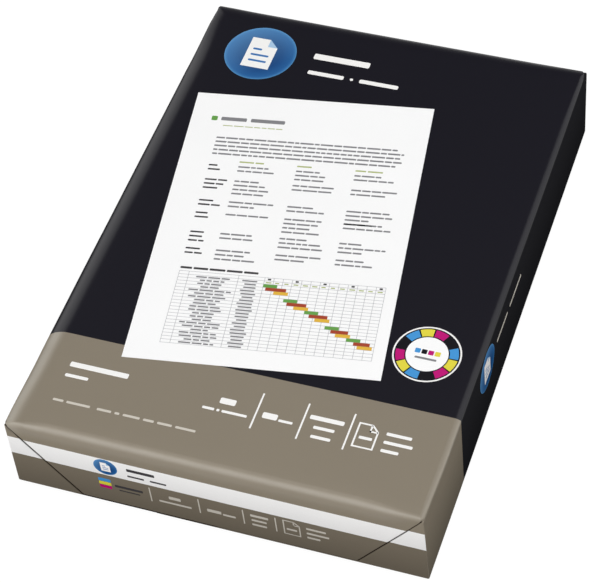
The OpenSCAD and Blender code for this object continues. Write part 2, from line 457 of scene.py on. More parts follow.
def wrapperSurface(p, grid):
    # A closed lattice box: columns across, rows along, levels up. A row on an end roll has its turn from
    # upright (90 degrees) to flat (0), at reach * (1 - sin turn) in and fall * (1 - cos turn) down. A column
    # by a side lies on the crease's arc or on the sag, a parabola. Columns fan inwards towards the underside,
    # so that they follow the slanted folds.
    halfWidth, halfLength, height = p["width"] / 2, p["length"] / 2, p["height"]
    turns = np.radians(np.linspace(90, 0, grid["rollRows"]))

    # rows: the two end rolls, then shares of the flat parts before and behind the band's edge
    before, behind = np.linspace(1, 0, grid["bandRows"])[1:], np.linspace(0, 1, grid["fieldRows"])[1:-1]
    rowTurn = np.concatenate([turns, 0 * before, 0 * behind, turns[::-1]])
    nearRow = (np.arange(len(rowTurn)) < len(turns))[:, None]
    onRoll = nearRow | nearRow[::-1]
    bend = 1 - np.sin(turns)
    evenRows = np.concatenate(
        [
            bend * p["near"][0] - halfLength,
            p["bandEdge"] * (1 - before) - halfLength * before,
            p["bandEdge"] * (1 - behind) + halfLength * behind,
            (halfLength - bend * p["far"][0])[::-1],
        ]
    )
    # columns of the flap: the two side rolls, then shares of the flat part between them, with the seam's edges
    fan = 1 - p["foldInset"] / halfWidth
    leftReach, rightReach = p["left"][0], p["right"][0]
    seam = np.array([p["seamAt"], p["seamAt"] - p["seamWidth"]]) / fan + halfWidth - leftReach
    seam = seam / (2 * halfWidth - leftReach - rightReach)
    across = np.sort(np.concatenate([np.linspace(0, 1, grid["topColumns"])[1:-1], seam]))
    sideColumns = np.zeros(grid["creaseColumns"] + grid["sagColumns"])
    flatColumns = (across * 2 - 1) * halfWidth
    evenColumns = np.concatenate([sideColumns - halfWidth, flatColumns, sideColumns + halfWidth])
    # columns of a corner tuck: close to the fold, then even, then close to the upright crease
    slope = math.cos(math.atan(p["foldInset"] / height))
    byFold, between, byCrease = (np.array(grid[k]) for k in ("byFold", "between", "byCrease"))
    byFold = byFold / slope
    tucks = len(byFold) + len(between) + len(byCrease)

    # the rolls' sizes where each row and column crosses them
    fromNear, fromFar = (ease((halfLength + end * evenRows) / p["sideTaper"])[:, None] for end in (1, -1))
    slack = 1 + p["slack"] * (waves(evenRows, evenRows * 0.3, 1.0)[:, None] - 0.5) * fromNear
    columnGrow = ease((halfWidth - np.abs(evenColumns)) / np.where(evenColumns < 0, *p["taper"]))

    def rollSize(end, k):
        # the size at the left or right corner, eased to the one in the middle
        corner = np.where(evenColumns < 0, *(size[k] for size in p[end + "Corners"]))
        return corner + (p[end][k] - corner) * columnGrow

    nearReach, nearFall, farReach, farFall = (rollSize(end, k) for end in ("near", "far") for k in (0, 1))
    farFall = farFall + p["farTilt"] * evenColumns / halfWidth

    def sag(reach, fall, nearShare, farShare, farReach, radius):
        # gaps from the side and drops below the top, from the crease's foot to the flat: the crease's arc, then
        # fall * slide squared, where slide is the share of the reach that is still to go
        reach = reach * (1 - (1 - farReach) * (1 - fromFar))
        grow = (1 - (1 - nearShare) * (1 - fromNear) - (1 - farShare) * (1 - fromFar)) * slack
        fall = fall * grow
        tilt = np.arctan(2 * fall / reach)
        start = radius * (1 - np.sin(tilt))
        arc = math.pi / 2 + (tilt - math.pi / 2) * np.linspace(0, 1, grid["creaseColumns"] + 1)[:-1]
        slide = np.linspace(1, 0, grid["sagColumns"])
        gap = np.hstack([radius * (1 - np.sin(arc)), start + (reach - start) * (1 - slide)])
        drop = np.hstack([fall + radius * (np.cos(tilt) - np.cos(arc)), fall * slide**2])
        return gap, drop

    leftGap, leftDrop = sag(*p["left"])
    rightGap, rightDrop = (line[:, ::-1] for line in sag(*p["right"]))

    def flapPlaces(row):
        # places of the flap's columns on the top, in these rows
        left, right = leftGap[row] - halfWidth, halfWidth - rightGap[row]
        return np.hstack([left, left[:, -1:] + (right[:, :1] - left[:, -1:]) * across, right])

    def tuckPlaces(level):
        # places of a tuck's columns outwards from the fold to the upright crease, at these heights
        tuckWidth = p["foldInset"] * (1 - level / height)
        squeeze = np.minimum(1, tuckWidth / grid["narrowTuck"])
        start, stop = byFold[-1] * squeeze, tuckWidth - byCrease[0] * squeeze
        inTuck = [byFold * squeeze, start + (stop - start) * between, tuckWidth - byCrease * squeeze]
        return halfWidth - tuckWidth + np.concatenate(inTuck, axis=1)

    def spread(level, flap, flapLevel):
        # all columns, the flap's fanned in by its own height; each tuck goes by the level at its own side
        leftTuck, rightTuck = tuckPlaces(level[:, :1]), tuckPlaces(level[:, -1:])
        fanned = flap * (1 - p["foldInset"] / halfWidth * (1 - flapLevel / height))
        return np.concatenate([-leftTuck[:, ::-1], fanned, rightTuck], axis=1)

    def foldDepth(x, level):
        # the fold's depth, none by the underside
        depth = np.interp(foldOut(x, level, p), foldShape["out"], foldShape["depth"])
        return depth * ease(level / foldShape["foot"])

    def topSheet():
        # the end rolls and the flat between them; where two rolls meet, the drop is the drops' high-power sum
        bend, fall = 1 - np.sin(rowTurn)[:, None], 1 - np.cos(rowTurn)[:, None]
        pad = ((0, 0), (tucks, tucks))

        def wide(flapValues):
            return np.pad(np.broadcast_to(flapValues, (len(rowTurn), len(evenColumns))), pad, mode="edge")

        reach = wide(np.where(nearRow, nearReach, farReach))
        endDrop = wide(np.where(nearRow, nearFall, farFall)) * fall * onRoll
        tuckDrop = np.where(endDrop < grid["closedTuck"], 0.0, endDrop)[:, [0, -1]]
        x = spread(height - tuckDrop, flapPlaces(slice(None)), height - endDrop[:, tucks:-tucks])
        isBefore = evenRows[:, None] < p["bandEdge"]
        flatEnd = np.where(isBefore, wide(nearReach) - halfLength, halfLength - wide(farReach))
        flatShare = np.concatenate([0 * turns, before, behind, 0 * turns])[:, None]
        flatPlace = p["bandEdge"] + flatShare * (flatEnd - p["bandEdge"])
        rollPlace = np.where(nearRow, reach * bend - halfLength, halfLength - reach * bend)
        y = np.where(onRoll, rollPlace, flatPlace)
        sideDrop = np.pad(np.hstack([leftDrop, 0 * across + 0 * fromNear, rightDrop]), pad, mode="edge")
        drop = (sideDrop ** p["mitre"] + endDrop ** p["mitre"]) ** (1 / p["mitre"])
        depth = foldDepth(x, height - endDrop)
        lean, tip = np.sin(rowTurn)[:, None], np.cos(rowTurn)[:, None]
        return stack(x, y - np.sign(y) * depth * lean, height - drop - depth * tip * (lean > 0))

    lowest, lowLevels = grid["lowLevels"]
    levels = np.concatenate(
        [
            grid["footLevels"],
            np.linspace(lowest, p["stripeLow"], lowLevels),
            np.linspace(p["stripeLow"], p["stripeHigh"], grid["stripeLevels"])[1:],
            [grid["highLevel"]],
        ]
    )[:, None]
    top = topSheet()
    endFlap = flapPlaces(slice(0, 1))
    bottom = stack(spread(np.zeros((1, 1)), endFlap, 0.0), top[:, :1, 1], 0.0)
    endX = spread(levels, endFlap, levels)
    front = stack(endX, foldDepth(endX, levels) - halfLength, levels)
    back = front * [1, -1, 1]
    wallShare = levels / levels[-1] * grid["wallTop"]
    sides = [
        stack(side * halfWidth, top[1:-1, column, 1], top[1:-1, column, 2] * wallShare)
        for side, column in ((-1, 0), (1, -1))
    ]

    # number the points so that neighbouring sheets share their border
    blocks = [top, bottom, front, back, *sides]
    points = np.concatenate([b.reshape(-1, 3) for b in blocks])
    firsts = np.cumsum([0] + [b[..., 0].size for b in blocks])
    topIds, bottomIds, frontIds, backIds, leftIds, rightIds = (
        np.arange(b[..., 0].size).reshape(b.shape[:2]) + first for b, first in zip(blocks, firsts)
    )

    def wall(ids, column):
        # a long side, closed by the end sheets' outermost columns and by the top and the underside
        middle = np.column_stack([frontIds[:, column], ids, backIds[:, column]])
        return np.vstack([bottomIds[:, column], middle, topIds[:, column]])

    grids = {
        "top": topIds,
        "underside": bottomIds,
        "front": np.vstack([bottomIds[:1], frontIds, topIds[:1]]),
        "back": np.vstack([bottomIds[-1:], backIds, topIds[-1:]]),
        "left": wall(leftIds, 0),
        "right": wall(rightIds, -1),
    }
    quads = np.concatenate(
        [stack(g[:-1, :-1], g[:-1, 1:], g[1:, 1:], g[1:, :-1]).reshape(-1, 4) for g in grids.values()]
    )
    onFront = np.concatenate([np.full(g[1:, 1:].size, name == "front") for name, g in grids.items()])
    middles = points[quads].mean(axis=1)
    parts = np.where(middles[:, 1] < p["bandEdge"], 1, 0)
    parts[onFront & (middles[:, 2] < p["stripeLow"])] = 3
    parts[onFront & (middles[:, 2] > p["stripeLow"]) & (middles[:, 2] < p["stripeHigh"])] = 2
    return settle(points, p), quads, parts


def roundEdge(points, first, second, inside):
    # points in a square edge of the block move onto a round one: their steps past the inside's edge are scaled
    # by the larger of the two over their length
    a, b = (np.clip(points[:, k] - inside[k], 0, None) for k in (first, second))
    scale = np.where((a > 0) & (b > 0), np.maximum(a, b) / np.maximum(np.hypot(a, b), 1e-9), 1.0)
    points[:, first] += a * (scale - 1)
    points[:, second] += b * (scale - 1)


def settle(points, p):
    # Rounds the creases, lifts the underside left of the lap seam, and lets two slack faces sink in by the
    # waves. A side goes in by its lean times the share of the height, and by its foot times the rest.
    halfWidth, halfLength, height = p["width"] / 2, p["length"] / 2, p["height"]
    sides = np.where(points[:, :2] < 0, -1.0, 1.0)
    folded = np.column_stack([points[:, :2] * sides, height - points[:, 2]])  # one corner stands for all
    inside = np.array([halfWidth, halfLength, height]) - p["crease"]
    for first, second in ((0, 1), (1, 2), (0, 2)):
        roundEdge(folded, first, second, inside)
    x, y, z = folded[:, 0] * sides[:, 0], folded[:, 1] * sides[:, 1], height - folded[:, 2]
    inner = np.clip((p["seamAt"] - x) / p["seamWidth"], 0, 1)
    z = z + p["seamStep"] * inner * np.clip(1 - z / p["seamRise"], 0, 1)
    foot, top, corner = p["sinkFades"]
    outer, near = p["sinkStrip"]
    upright = ease(z / foot) * ease((height - z) / top)
    onLeft = fade(-x, halfWidth - outer, halfWidth - near) * ease((halfLength - np.abs(y)) / corner)
    x = x + p["sink"][0] * waves(y, 2 * z, 0.4) * upright * onLeft
    onBack = fade(y, halfLength - outer, halfLength - near) * ease((halfWidth - np.abs(x)) / corner)
    y = y - p["sink"][1] * waves(x, 2 * z, 1.9) * upright * onBack
    leans = (np.interp(y, p["leanAt"], p[k]) for k in ("leftLean", "rightLean", "rightFoot"))
    leftLean, rightLean, foot = leans
    level = z / height
    inward = np.where(x < 0, leftLean * level, rightLean * level + foot * (1 - level))
    x = x - np.sign(x) * inward * fade(np.abs(x), halfWidth - p["leanStrip"], halfWidth)
    return np.column_stack([x, y, z])


def storeValues(mesh, name, values):
    mesh.attributes.new(name, "FLOAT", "POINT").data.foreach_set("value", values)


def newMesh(name, points, faces, slots, weld=None):
    # a mesh from points in millimetres and each face's material slot; closer points than weld are made one
    mesh = bpy.data.meshes.new(name)
    mesh.from_pydata((points * mm).tolist(), [], faces)
    mesh.polygons.foreach_set("material_index", slots.astype(np.int32))
    shell = bmesh.new()
    shell.from_mesh(mesh)
    if weld:
        bmesh.ops.remove_doubles(shell, verts=shell.verts, dist=weld * mm)
    bmesh.ops.recalc_face_normals(shell, faces=shell.faces)
    openEdges = sum(1 for e in shell.edges if len(e.link_faces) != 2)
    shell.to_mesh(mesh)
    shell.free()
    print(name + ":", len(mesh.polygons), "faces,", openEdges, "open edges")
    return mesh


def bell(distance, width):
    # 1 at no distance, falling off as exp(-(distance / width) squared)
    return np.exp(-((distance / width) ** 2))


def makeWrapper(p, grid, wornAndLit, materials):
    points, quads, parts = wrapperSurface(p, grid)
    mesh = newMesh("ream_wrapper", points, quads.tolist(), parts, grid["weld"])
    mesh.polygons.foreach_set("use_smooth", np.ones(len(mesh.polygons), bool))
    mesh.set_sharp_from_angle(angle=math.radians(grid["sharpAngle"]))
    place = np.empty(len(mesh.vertices) * 3)
    mesh.vertices.foreach_get("co", place)
    x, y, z = (place.reshape(-1, 3) / mm).T
    fromSide, fromEnd = p["width"] / 2 - np.abs(x), p["length"] / 2 - np.abs(y)

    # wear on the creases, partly painted highlight on the upright ones, and painted highlight over rubbed print
    # along the top's edges, wider and stronger on the left
    width, rise = wornAndLit["upright"]
    upright = bell(fromSide + fromEnd, width) * ease(z / rise)
    width, share = wornAndLit["lower"]
    lower = bell(np.minimum(fromSide, fromEnd) + z, width) * share
    storeValues(mesh, "crease", np.clip(upright + lower, 0, 1))
    under = np.clip(p["height"] - wornAndLit["ridgeFrom"] - z, 0, None)
    onLeft = fade(fromSide, *wornAndLit["leftEdge"]) * (x < 0)
    wider, more = wornAndLit["leftMore"]
    ridge = ease(p["height"] - z) * bell(under, wornAndLit["ridgeWidth"] + wider * onLeft) * (1 + more * onLeft)
    storeValues(mesh, "ridge", ridge)

    # the painted shade in the gap beside each fold, and the varnish
    *heights, share = foldShape["gapNarrows"]
    gapWidth = np.where(x < 0, *foldShape["gapWidth"]) * (share + (1 - share) * fade(z, *heights))
    shade = np.interp(foldOut(x, z, p) / gapWidth, foldShape["out"], foldShape["shade"])
    shade = shade * fade(fromEnd, *foldShape["gapFace"]) * fade(z, *foldShape["gapFoot"])
    storeValues(mesh, "foldGap", shade * np.where(x < 0, 1.0, fade(z, *foldShape["gapTop"])))
    onSides, onEnds = (fade(z, *varnish[k]) for k in ("onSides", "onEnds"))
    onEnds = onEnds * ease((fromSide - varnish["fromCrease"]) / np.where(x < 0, *varnish["fade"]))
    storeValues(mesh, "varnish", np.maximum(onSides, onEnds))
    for material in materials:
        mesh.materials.append(material)
    return putInScene("ream_wrapper", mesh)


# ridge amounts: painted highlight over rubbed print along the top's edges, far stronger on the pale band
wrapperInks = [
    # the black's lighter side ink is painted light for the dimmer sides
    paperMaterial("blackPrint", (24, 23, 31), sideColour=(38, 38, 41), wornAndLit=(112, 110, 110), ridge=0.025),
    paperMaterial("bandPrint", (135, 126, 111), wornAndLit=(200, 194, 182), ridge=0.27),
    paperMaterial("whiteStripe", (243, 242, 241), wornAndLit=(236, 236, 234)),
    # a darker taupe on the front below the stripe
    paperMaterial("darkerFoot", (122, 113, 99), wornAndLit=(190, 184, 172)),
]
wrapper = makeWrapper(pack, lattice, wearAndHighlightPlaces, wrapperInks)
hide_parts("ream")
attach(wrapper, "root")

# The print lies in thin closed films of ink: how deep each reaches into the wrapper, how far it stands proud of
# it, and how much more with each layer.
film = {"sink": 0.15, "paper": 0.04, "step": 0.02}


def barOutlines(bars, corner, steps=4):
    # outlines of rounded rectangles: the middle, plus the half size less the corner, plus the corner's turn
    bars = np.asarray(bars, float).reshape(-1, 4)  # left, low, right, high
    middle, half = (bars[:, :2] + bars[:, 2:]) / 2, (bars[:, 2:] - bars[:, :2]) / 2
    radius = np.minimum(corner, half.min(axis=1) * 0.98)[:, None, None]
    quadrant = np.repeat(np.arange(4), steps)
    turn = np.radians(90 * quadrant + np.tile(np.linspace(0, 90, steps), 4))
    side = np.array([[1, 1], [-1, 1], [-1, -1], [1, -1]])[quadrant]
    arc = radius * np.stack([np.cos(turn), np.sin(turn)], -1)
    return middle[:, None] + side * (half[:, None] - radius) + arc


def roundOutlines(spots, points):
    # outlines of circles given as middle across, middle up and radius
    spots = np.asarray(spots, float).reshape(-1, 3)
    turn = np.linspace(0, 2 * math.pi, points, endpoint=False)
    return spots[:, None, :2] + spots[:, None, 2:] * np.stack([np.cos(turn), np.sin(turn)], -1)


def arcLine(middle, radius, fromTurn, toTurn, points):
    turn = np.radians(np.linspace(fromTurn, toTurn, points))
    return np.asarray(middle) + radius * np.stack([np.cos(turn), np.sin(turn)], -1)


def keepFilm(store, points, faces, inkName, hub=None):
    # hub is the middle and radius of the round that the film is on, and disc a point's place on it in radii
    disc = (points[:, :2] - hub[:2]) / hub[2] if hub else points[:, :2] * 0
    store.append({"points": points, "disc": disc, "faces": faces, "ink": inkName})


def pointCount(store):
    return sum(len(entry["points"]) for entry in store)


def filmHeights(layer):
    return -film["sink"], film["paper"] + film["step"] * layer


def addFilms(store, outlines, layer, inkName, hub=None):
    # every outline at the film's underside and at its face, a face on each, and walls between
    outlines = np.asarray(outlines, float)
    count, size = outlines.shape[:2]
    points = np.stack([np.dstack([outlines, np.full((count, size), h)]) for h in filmHeights(layer)], axis=1)
    ids = np.arange(count * 2 * size).reshape(count, 2, size) + pointCount(store)
    under, over = ids[:, 0], ids[:, 1]
    walls = stack(under, np.roll(under, -1, 1), np.roll(over, -1, 1), over).reshape(-1, 4)
    faces = over.tolist() + under[:, ::-1].tolist() + walls.tolist()
    keepFilm(store, points.reshape(-1, 3), faces, inkName, hub)


def addBars(store, bars, corner, layer, inkName, steps=4):
    addFilms(store, barOutlines(bars, corner, steps), layer, inkName)


def addStroke(store, outer, inner, layer, inkName, closed=True):
    # a film between two lines of matching points, as a ring or as an open stroke with closed ends
    outer, inner = np.asarray(outer, float), np.asarray(inner, float)
    size = len(outer)
    lines = [np.column_stack([line, np.full(size, h)]) for h in filmHeights(layer) for line in (outer, inner)]
    ids = np.arange(4 * size).reshape(4, size) + pointCount(store)
    lowOuter, lowInner, highOuter, highInner = ids
    steps = np.arange(size if closed else size - 1)
    after = (steps + 1) % size
    pairs = ((highOuter, highInner), (lowInner, lowOuter), (lowOuter, highOuter), (highInner, lowInner))
    faces = np.concatenate([stack(a[steps], a[after], b[after], b[steps]) for a, b in pairs]).tolist()
    if not closed:
        faces += [ids[[0, 2, 3, 1], 0].tolist(), ids[[0, 1, 3, 2], -1].tolist()]
    keepFilm(store, np.concatenate(lines), faces, inkName)


def wordBars(rows, thickness, wordSizes, gap, rng):
    # rows of text as bars the length of words: running sums of random lengths, kept while they fit the row
    rows = np.asarray(rows, float).reshape(-1, 3)  # left, right, height of the row's middle
    lengths = rng.uniform(*wordSizes, size=(len(rows), 40))
    starts = rows[:, :1] + np.cumsum(lengths + gap, axis=1) - (lengths + gap)
    stops = np.minimum(starts + lengths, rows[:, 1:2])
    keep = starts < rows[:, 1:2] - 0.6 * wordSizes[0]
    level = np.broadcast_to(rows[:, 2:], starts.shape)
    return np.stack([starts, level - thickness / 2, stops, level + thickness / 2], -1)[keep]


def printPiece(name, store, panel, inks):
    # lays flat films on a face of the pack: its origin, plus across, up and outward shares of each point
    points = np.concatenate([entry["points"] for entry in store])
    origin, across, up = (np.asarray(panel[k], float) for k in ("origin", "across", "up"))
    outward = np.cross(across, up)
    faces = [face for entry in store for face in entry["faces"]]
    used = sorted({entry["ink"] for entry in store})
    slots = np.concatenate([np.full(len(entry["faces"]), used.index(entry["ink"])) for entry in store])
    mesh = newMesh(name, origin + points @ np.stack([across, up, outward]), faces, slots)
    disc = np.concatenate([entry["disc"] for entry in store])
    corners = np.empty(len(mesh.loops), np.int32)
    mesh.loops.foreach_get("vertex_index", corners)
    mesh.uv_layers.new(name="disc").data.foreach_set("uv", disc[corners].ravel())
    storeValues(mesh, "varnish", np.full(len(mesh.vertices), float(outward[2] > 0.5)))
    for inkName in used:
        mesh.materials.append(inks[inkName])
    piece = putInScene(name, mesh)
    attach(piece, "root")


def rampNode(tree, value, stops):
    # a colour by its value's place between stops
    ramp = tree.nodes.new("ShaderNodeValToRGB")
    elements = ramp.color_ramp.elements
    while len(elements) < len(stops):
        elements.new(0.5)
    for element, (place, colour) in zip(elements, stops):
        element.position, element.color = place, colour
    tree.links.new(value, ramp.inputs[0])
    return ramp.outputs[0]


# A blue round mark with a plain upright sheet on it, its corner turned down; places are shares of the radius.
roundel = {
    "sheet": [(-0.40, -0.56), (0.40, -0.56), (0.40, 0.28), (0.12, 0.56), (-0.40, 0.56)],
    "corner": [(0.12, 0.28), (0.40, 0.28), (0.12, 0.56)],
    "lines": [(-0.26, -0.335, 0.26, -0.265), (-0.26, -0.115, 0.26, -0.045), (-0.26, 0.105, 0.0, 0.175)],
    "blues": [  # from the middle out to the rim
        (0.0, (20, 54, 100)),
        (0.60, (28, 72, 128)),
        (0.90, (40, 94, 152)),
        (0.96, (56, 114, 170)),
        (1.0, (80, 138, 188)),
    ],
    "sheen": (120, 176, 224),
    "sheenShare": (-0.14, 0.18, 0.14),  # more of it across, up and everywhere
}


def roundelTint(tree, p=roundel):
    # blue that is darkest in the middle and lighter at the rim, with a sheen towards the upper left
    spot = tree.nodes.new("ShaderNodeUVMap")
    spot.uv_map = "disc"
    parts = tree.nodes.new("ShaderNodeSeparateXYZ")
    tree.links.new(spot.outputs["UV"], parts.inputs[0])
    squares = (mathNode(tree, "POWER", parts.outputs[axis], 2.0) for axis in ("X", "Y"))
    reach = mathNode(tree, "SQRT", mathNode(tree, "ADD", *squares))
    blue = rampNode(tree, reach, [(place, ink(*colour)) for place, colour in p["blues"]])
    byX, byY, least = p["sheenShare"]
    lift = mathNode(tree, "MULTIPLY_ADD", parts.outputs["Y"], byY, least)
    lift = mathNode(tree, "MULTIPLY_ADD", parts.outputs["X"], byX, lift)
    return mixColour(tree, mathNode(tree, "MAXIMUM", lift, 0.0), blue, ink(*p["sheen"]))


inkColours = {
    "pageWhite": (251, 251, 251),
    "whiteInk": (246, 245, 243),
    "greyText": (132, 132, 135),
    "darkText": (66, 64, 66),
    "paleLine": (178, 178, 182),
    "oliveText": (176, 186, 128),
    "paleBlue": (168, 200, 228),
    "midBlue": (60, 118, 182),
    "green": (104, 160, 78),
    "brick": (166, 70, 48),
    "amber": (226, 180, 66),
    "cyan": (70, 150, 214),
    "magenta": (190, 24, 118),
    "yellow": (226, 214, 70),
    "blackInk": (22, 21, 26),
    "bandInk": (205, 199, 188),
}
inks = {name: paperMaterial(name, colour) for name, colour in inkColours.items()}
inks["blueRound"] = paperMaterial("blueRound", roundel["sheen"], tint=roundelTint)


def addRoundel(store, across, up, radius, layer, p=roundel):
    hub = (across, up, radius)
    place = np.array([across, up])
    addFilms(store, roundOutlines([hub], 96), layer, "blueRound", hub)
    addFilms(store, [place + radius * np.array(p["sheet"])], layer + 1, "whiteInk")
    addFilms(store, [place + radius * np.array(p["corner"])], layer + 2, "paleBlue")
    addBars(store, np.array(p["lines"]) * radius + [*place, *place], 0.03 * radius, layer + 2, "midBlue")


topPanel = {"origin": (0, 0, pack["height"]), "across": (1, 0, 0), "up": (0, 1, 0)}
endPanel = {"origin": (0, -pack["length"] / 2, 0), "across": (1, 0, 0), "up": (0, 0, 1)}
sidePanel = {"origin": (pack["width"] / 2, 0, 0), "across": (0, 1, 0), "up": (0, 0, 1)}

# The printed page that lies askew on the top: a plain report with a table and a schedule. Its places are from
# its upper left corner.
page = {
    "middle": (-13.5, 0.3),
    "width": 127.1,
    "length": 179.7,
    "turn": 8.5,
    "margin": 16.4,
    "rowPitch": 2.85,
    "mark": [(11.0, -19.4, 14.2, -16.2)],
    "title": [(16.2, -19.0, 30.0, -16.5), (32.2, -19.0, 50.5, -16.5)],
    "subtitle": (18.0, 50.0, -22.6),
    "paragraphTop": -31.4,
    "paragraphEnds": [112.5, 116.3, 114.6, 117.2, 113.0],
    "columns": [32.0, 62.5, 93.0],
    "headTop": -47.6,
    "headWidths": [13.0, 11.0, 16.0],
    # depth of a group, then its rows in each column
    "groups": [
        (51.0, 2, 2, 3, 2), (61.0, 3, 4, 2, 2), (75.5, 2, 2, 2, 4),
        (84.0, 2, 1, 4, 2), (97.0, 3, 2, 3, 3), (108.0, 2, 3, 2, 2),
    ],
    "labelWidth": (6, 12),
    "noteWidth": (12, 25),
    "chartTop": -123.0,
    "chartFoot": -168.6,
    "chartLeft": 16.6,
    "chartRight": 120.8,
    "chartTitle": (16.6, 58.0, -120.8),
    "tableLines": [16.6, 21.6, 47.0, 60.2],
    # middle of each column of words in the table, and the range of their half widths
    "tableWords": [("names", 34.3, (4, 11)), ("kinds", 53.6, (2.4, 4.6))],
    "quarterSpan": (1.6, 3.2),
    "monthMargin": 0.9,
    "stepHalf": 0.48,  # of a row's height
    "chartRows": 22,
    "chartColumns": 13,
    "ruleHalf": 0.11,
    "stepRows": (1, 5, 8, 12, 15),
    "stepPitch": 11.6,
    # ink, start and length of each step, and how much later and shorter it gets with each group
    "steps": [("green", 0.0, 7.0, 0.0), ("brick", 1.4, 10.5, 0.6), ("amber", 5.8, 7.4, 0.0)],
    "words": {  # thickness of the bars, shortest and longest, the gap between them, and their corners
        "subtitle": (0.6, (2.5, 6), 0.6, 0.2),
        "paragraph": (1.1, (2.2, 7.5), 0.5, 0.35),
        "heads": (1.0, (5, 8), 0.8, 0.3),
        "labels": (1.05, (4, 8), 0.6, 0.35),
        "notes": (1.05, (2.5, 8), 0.5, 0.35),
        "chartTitle": (1.3, (4, 8), 0.8, 0.35),
        "names": (0.85, (2.5, 7), 0.7, 0.25),
        "kinds": (0.85, (6, 9), 0.7, 0.25),
        "quarters": (1.0, (2, 3), 0.7, 0.25),
        "months": (0.7, (2, 3), 0.7, 0.2),
    },
}


def makePage(p):
    rng = np.random.default_rng(5)
    store = []

    def addWords(rows, style, layer, inkName):
        thick, sizes, gap, corner = p["words"][style]
        addBars(store, wordBars(rows, thick, sizes, gap, rng), corner, layer, inkName)

    addBars(store, [[0, -p["length"], p["width"], 0]], 0.01, 0, "pageWhite")
    pitch, left = p["rowPitch"], p["margin"]
    # heading, with a square mark
    addBars(store, p["mark"], 0.7, 1, "green")
    addBars(store, p["title"], 0.6, 1, "greyText")
    addWords([p["subtitle"]], "subtitle", 1, "oliveText")
    # one paragraph, then groups of short rows in columns
    ends = np.array(p["paragraphEnds"])
    rows = np.column_stack([np.full(len(ends), left), ends, p["paragraphTop"] - pitch * np.arange(len(ends))])
    addWords(rows, "paragraph", 1, "greyText")
    heads = [[column, column + width, p["headTop"]] for column, width in zip(p["columns"], p["headWidths"])]
    addWords(heads, "heads", 1, "oliveText")
    labels, notes = [], []
    for depth, labelRows, *counts in p["groups"]:
        labels += [[left, left + rng.uniform(*p["labelWidth"]), -depth - pitch * k] for k in range(labelRows)]
        for column, count in zip(p["columns"], counts):
            notes += [[column, column + rng.uniform(*p["noteWidth"]), -depth - pitch * k] for k in range(count)]
    addWords(labels, "labels", 1, "darkText")
    addWords(notes, "notes", 1, "greyText")
    # table and schedule: fine rules, rows of words and stepped bars
    top, foot, chartLeft, chartRight = (p[k] for k in ("chartTop", "chartFoot", "chartLeft", "chartRight"))
    rowLines = np.linspace(top, foot, p["chartRows"] + 1)
    gridLeft = p["tableLines"][-1]
    gridLines = np.linspace(gridLeft, chartRight, p["chartColumns"] + 1)
    columnLines = np.concatenate([p["tableLines"][:-1], gridLines])
    half = p["ruleHalf"]
    addBars(store, [[chartLeft, y - half, chartRight, y + half] for y in rowLines], 0.02, 1, "paleLine", 2)
    addBars(store, [[x - half, foot, x + half, top] for x in columnLines], 0.02, 2, "paleLine", 2)
    rowHeight = rowLines[0] - rowLines[1]
    middles = (rowLines[2:] + rowLines[1:-1]) / 2
    addWords([p["chartTitle"]], "chartTitle", 2, "darkText")
    for style, middle, halfWidths in p["tableWords"]:
        size = rng.uniform(*halfWidths, len(middles))
        addWords(np.column_stack([middle - size, middle + size, middles]), style, 3, "greyText")
    start, stop = p["quarterSpan"]
    quarters = [[x + start, x + stop, middles[0] + rowHeight] for x in gridLines[:-1:3]]
    addWords(quarters, "quarters", 3, "darkText")
    margin, level = p["monthMargin"], np.full(p["chartColumns"], middles[0])
    months = np.column_stack([gridLines[:-1] + margin, gridLines[1:] - margin, level])
    addWords(months, "months", 3, "oliveText")
    for group, row in enumerate(p["stepRows"]):
        for k, (inkName, offset, length, drift) in enumerate(p["steps"]):
            start = gridLeft + p["stepPitch"] * group + offset + drift * group
            stop = min(start + length - drift * group, chartRight)
            low, high = (middles[row + k] + side * rowHeight * p["stepHalf"] for side in (-1, 1))
            addBars(store, [[start, low, stop, high]], 0.1, 3, inkName)
    turn = math.radians(p["turn"])
    across = np.array([math.cos(turn), math.sin(turn), 0])
    up = np.array([-math.sin(turn), math.cos(turn), 0])
    corner = np.array([*p["middle"], pack["height"]]) - across * p["width"] / 2 + up * p["length"] / 2
    printPiece("page_print", store, {"origin": corner, "across": across, "up": up}, inks)


makePage(page)

# Round mark and heading bars on the black field.
head = {
    "round": (-67.2, 115.9, 19.7),
    "bars": [(-38.0, 118.8, -6.6, 122.9), (-37.6, 107.3, -17.4, 110.0), (-8.6, 107.3, 13.0, 110.0)],
    "dot": (-13.0, 108.65, 0.9),
}


def makeHead(p):
    store = []
    addRoundel(store, *p["round"], 0)
    addBars(store, p["bars"], 0.8, 0, "whiteInk")
    addFilms(store, roundOutlines([p["dot"]], 24), 0, "whiteInk")
    printPiece("head_print", store, topPanel, inks)


makeHead(head)

# The round colour seal: a fine white ring, twelve blocks of ink, and a white middle with squares and a bar.
seal = {
    "middle": (79.2, -58.1),
    "ring": (15.9, 16.7),
    "blocks": (10.9, 15.2),
    "count": 12,
    "gapTurn": 3.0,
    "disc": 10.3,
    "inks": ("cyan", "blackInk", "magenta", "yellow"),
    "square": (-6.3, -0.2, -3.6, 2.5),
    "squarePitch": 3.3,
    "bar": (-5.4, -3.4, 5.4, -2.2),
}


